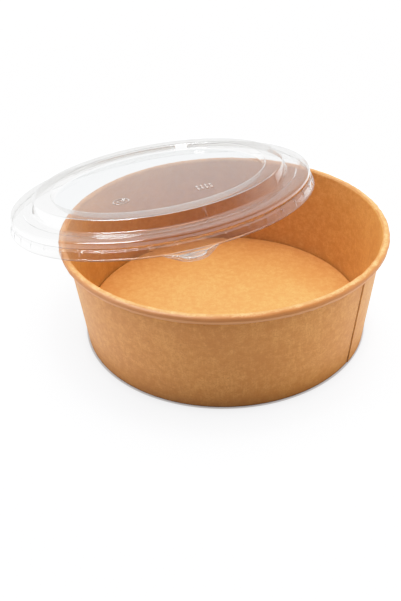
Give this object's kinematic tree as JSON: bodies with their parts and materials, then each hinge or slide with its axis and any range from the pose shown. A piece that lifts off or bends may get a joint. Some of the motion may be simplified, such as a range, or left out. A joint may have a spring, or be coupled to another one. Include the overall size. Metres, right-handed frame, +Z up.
{
  "type": "paper salad bowl with lid",
  "caption": "Round kraft-paper salad bowl with a rolled rim and a side seam, its clear press-fit plastic lid with a pull tab lying askew on the rim.",
  "frame": {"origin": "middle of the whole object's outline, at table height", "axes": "+Z up along the bowl's axis; the seam and the lid's pull tab face -Y, the lid has slid towards -X +Y"},
  "size_m": [0.221, 0.23, 0.0869],
  "materials": {
    "kraft_wall": "uncoated brown kraft board outside, thin film lining inside",
    "kraft_bottom": "brown kraft board with a thin film lining on top",
    "clear_plastic": "clear glossy pressed plastic sheet"
  },
  "bodies": {
    "root": {"bowl_wall": "kraft_wall", "bowl_bottom": "kraft_bottom", "lid": "clear_plastic"}
  },
  "joints": []
}
